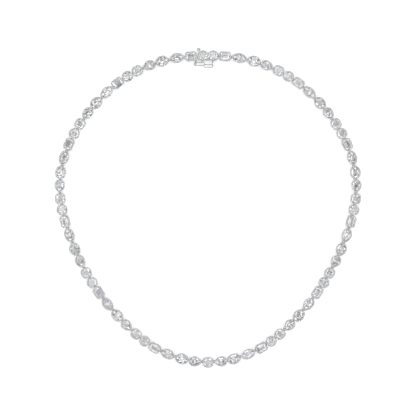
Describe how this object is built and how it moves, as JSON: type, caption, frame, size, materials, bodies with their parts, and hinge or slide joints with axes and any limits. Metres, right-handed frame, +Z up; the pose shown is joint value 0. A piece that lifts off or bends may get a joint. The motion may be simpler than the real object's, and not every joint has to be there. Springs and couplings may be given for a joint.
{
  "type": "bezel-set necklace",
  "caption": "Necklace of bezel-set stones in mixed cuts on a chain of linked settings, closed by a box clasp with a thumb tab and a wire safety catch.",
  "frame": {"origin": "middle of the whole necklace's box, on the surface that it lies on", "axes": "+Z up, the way the stones face; +Y from the front of the necklace to its clasp; +X to the wearer's left when it is worn"},
  "size_m": [0.1376, 0.1435, 0.0036],
  "materials": {
    "white_gold": "polished",
    "crystal": "faceted and polished"
  },
  "bodies": {
    "necklace": {"settings_right": "white_gold", "settings_left": "white_gold", "stones_right": "crystal", "stones_left": "crystal", "tongue_link": "white_gold", "clasp_box": "white_gold", "clasp_stones": "crystal"},
    "thumb_leaf": {"thumb_leaf": "white_gold"},
    "safety_catch": {"safety_catch": "white_gold"}
  },
  "joints": [
    {"name": "catch_hinge", "type": "hinge", "parent": "necklace", "child": "safety_catch", "pos_m": [0.00205, 0.0636, 0.00125], "axis": [0, 1, 0], "range_deg": [0, 150]},
    {"name": "thumb_press", "type": "hinge", "parent": "necklace", "child": "thumb_leaf", "pos_m": [0.00245, 0.0679, 0.00063], "axis": [0, -1, 0], "range_deg": [0, 2.6], "stiffness_Nm_per_rad": 0.3}
  ]
}
